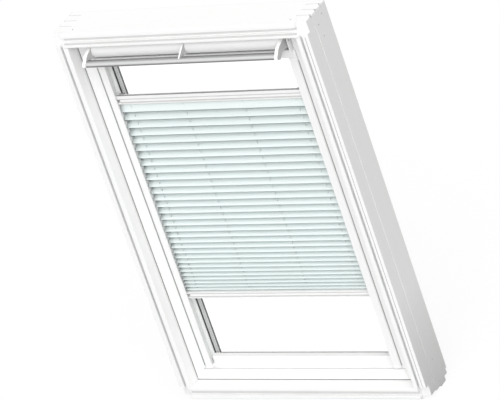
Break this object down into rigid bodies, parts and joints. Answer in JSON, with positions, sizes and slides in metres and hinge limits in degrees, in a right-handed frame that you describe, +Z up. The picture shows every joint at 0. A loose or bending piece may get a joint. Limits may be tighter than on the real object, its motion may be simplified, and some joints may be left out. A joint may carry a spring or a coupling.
{
  "type": "roof window with pleated blind",
  "caption": "White centre-pivot roof window: comb-jointed frame, pivoting glazed sash with control bar and vent flap, and a pleated blind that slides between two side rails.",
  "frame": {"origin": "middle of the flat underside of the sill", "axes": "+Z up along the window's height, -Y towards the room, +X to the right seen from the room"},
  "size_m": [0.78, 0.1626, 1.178],
  "materials": {
    "white_lacquer": "white lacquered pine, satin",
    "white_coat": "white powder coat, satin",
    "white_plastic": "moulded, smooth",
    "silver": "anodised, fine brushed",
    "steel": "zinc plated",
    "grey_coat": "dark grey lacquered sheet",
    "spacer": "dark warm-edge spacer and sealant",
    "rubber": "black, matte",
    "grey_plastic": "moulded, matte",
    "foam": "open-cell filter",
    "cord": "braided cord",
    "cloth": "pleated translucent cloth, fine weave",
    "glass": "clear, polished"
  },
  "bodies": {
    "frame": {"frame_head": "white_lacquer", "frame_sill": "white_lacquer", "frame_left_jamb": "white_lacquer", "frame_right_jamb": "white_lacquer", "striker_plate": "steel", "left_frame_hinge": "steel", "right_frame_hinge": "steel", "left_frame_cover": "grey_coat", "right_frame_cover": "grey_coat", "head_frame_cover": "grey_coat", "sill_frame_cover": "grey_coat"},
    "sash": {"sash_top_rail": "white_lacquer", "sash_bottom_rail": "white_lacquer", "sash_left_stile": "white_lacquer", "sash_right_stile": "white_lacquer", "left_sash_hinge": "steel", "right_sash_hinge": "steel", "inner_pane": "glass", "outer_pane": "glass", "spacer_frame": "spacer", "glazing_gasket": "rubber", "sash_upper_seal": "rubber", "sash_lower_seal": "rubber", "sash_left_cover": "grey_coat", "sash_right_cover": "grey_coat", "sash_top_cover": "grey_coat", "sash_bottom_cover": "grey_coat", "lock_case": "steel", "air_filter": "foam", "left_flap_bearing": "grey_plastic", "right_flap_bearing": "grey_plastic", "left_side_rail": "white_coat", "right_side_rail": "white_coat", "left_bottom_cap": "white_plastic", "right_bottom_cap": "white_plastic", "left_top_cap": "white_plastic", "right_top_cap": "white_plastic", "left_tension_cord": "cord", "right_tension_cord": "cord"},
    "flap": {"vent_flap": "white_coat", "left_arm": "white_plastic", "right_arm": "white_plastic", "middle_arm": "white_plastic", "control_bar": "silver"},
    "latch": {"latch_bolt": "steel"},
    "blind_top": {"blind_top_rail": "white_coat", "left_top_shoe": "grey_plastic", "right_top_shoe": "grey_plastic", "pleated_cloth": "cloth"},
    "blind_bottom": {"blind_bottom_rail": "white_coat", "left_bottom_shoe": "grey_plastic", "right_bottom_shoe": "grey_plastic"}
  },
  "joints": [
    {"name": "sash_pivot", "type": "hinge", "parent": "frame", "child": "sash", "pos_m": [0, 0.018, 0.589], "axis": [1, 0, 0], "range_deg": [0, 160]},
    {"name": "control_bar_swing", "type": "hinge", "parent": "sash", "child": "flap", "pos_m": [0, -0.026, 1.112], "axis": [1, 0, 0], "range_deg": [0, 40]},
    {"name": "bolt_slide", "type": "slide", "parent": "sash", "child": "latch", "axis": [0, 0, 1], "range_m": [-0.0081, 0]},
    {"name": "top_rail_slide", "type": "slide", "parent": "sash", "child": "blind_top", "axis": [0, 0, 1], "range_m": [-0.19, 0.085]},
    {"name": "bottom_rail_slide", "type": "slide", "parent": "blind_top", "child": "blind_bottom", "axis": [0, 0, 1], "range_m": [0, 0.52], "deforming": ["pleated_cloth"]}
  ],
  "couplings": [
    {"joint": "bolt_slide", "follows": "control_bar_swing", "m_per_rad": -0.01146}
  ]
}
